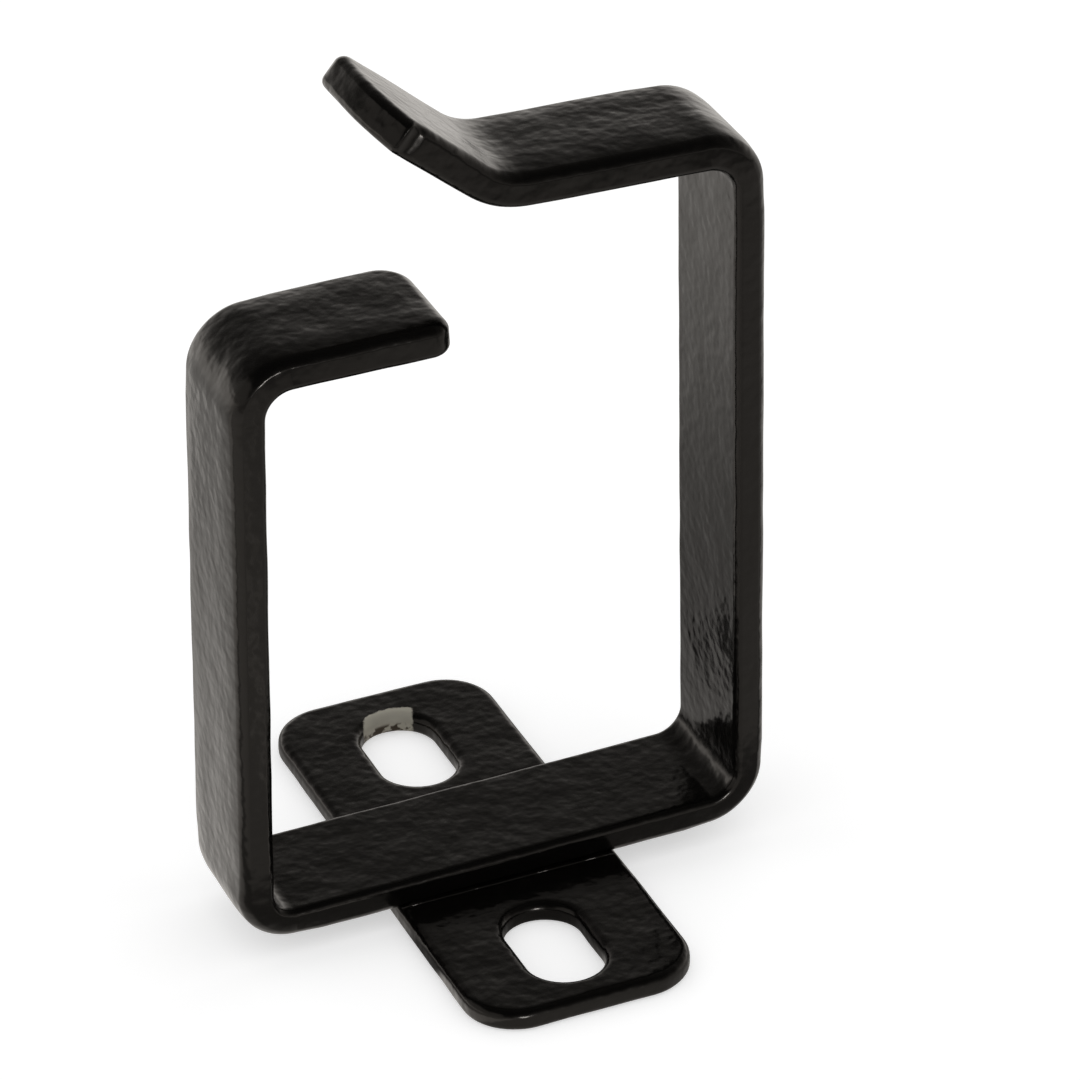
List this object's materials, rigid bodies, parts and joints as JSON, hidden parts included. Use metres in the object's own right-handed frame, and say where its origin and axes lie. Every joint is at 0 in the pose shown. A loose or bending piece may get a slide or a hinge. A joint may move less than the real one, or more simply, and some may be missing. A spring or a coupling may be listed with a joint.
{
  "type": "open rectangular cable ring",
  "caption": "Open rectangular ring bent from flat bar and welded across a slotted plate, with a side mouth and a turned-up lead-in that let rack cables slip in.",
  "frame": {"origin": "on the underside of the mounting plate, midway between its two slots", "axes": "+X along the ring's width towards the tall leg, +Y along the plate's length towards its rear slot, +Z away from the rack post, through the ring"},
  "size_m": [0.0499, 0.0523, 0.0799],
  "materials": {
    "powder_coat": "glossy black powder coat with fine orange peel over steel"
  },
  "bodies": {
    "root": {"bent_ring": "powder_coat", "mounting_plate": "powder_coat"}
  },
  "joints": []
}
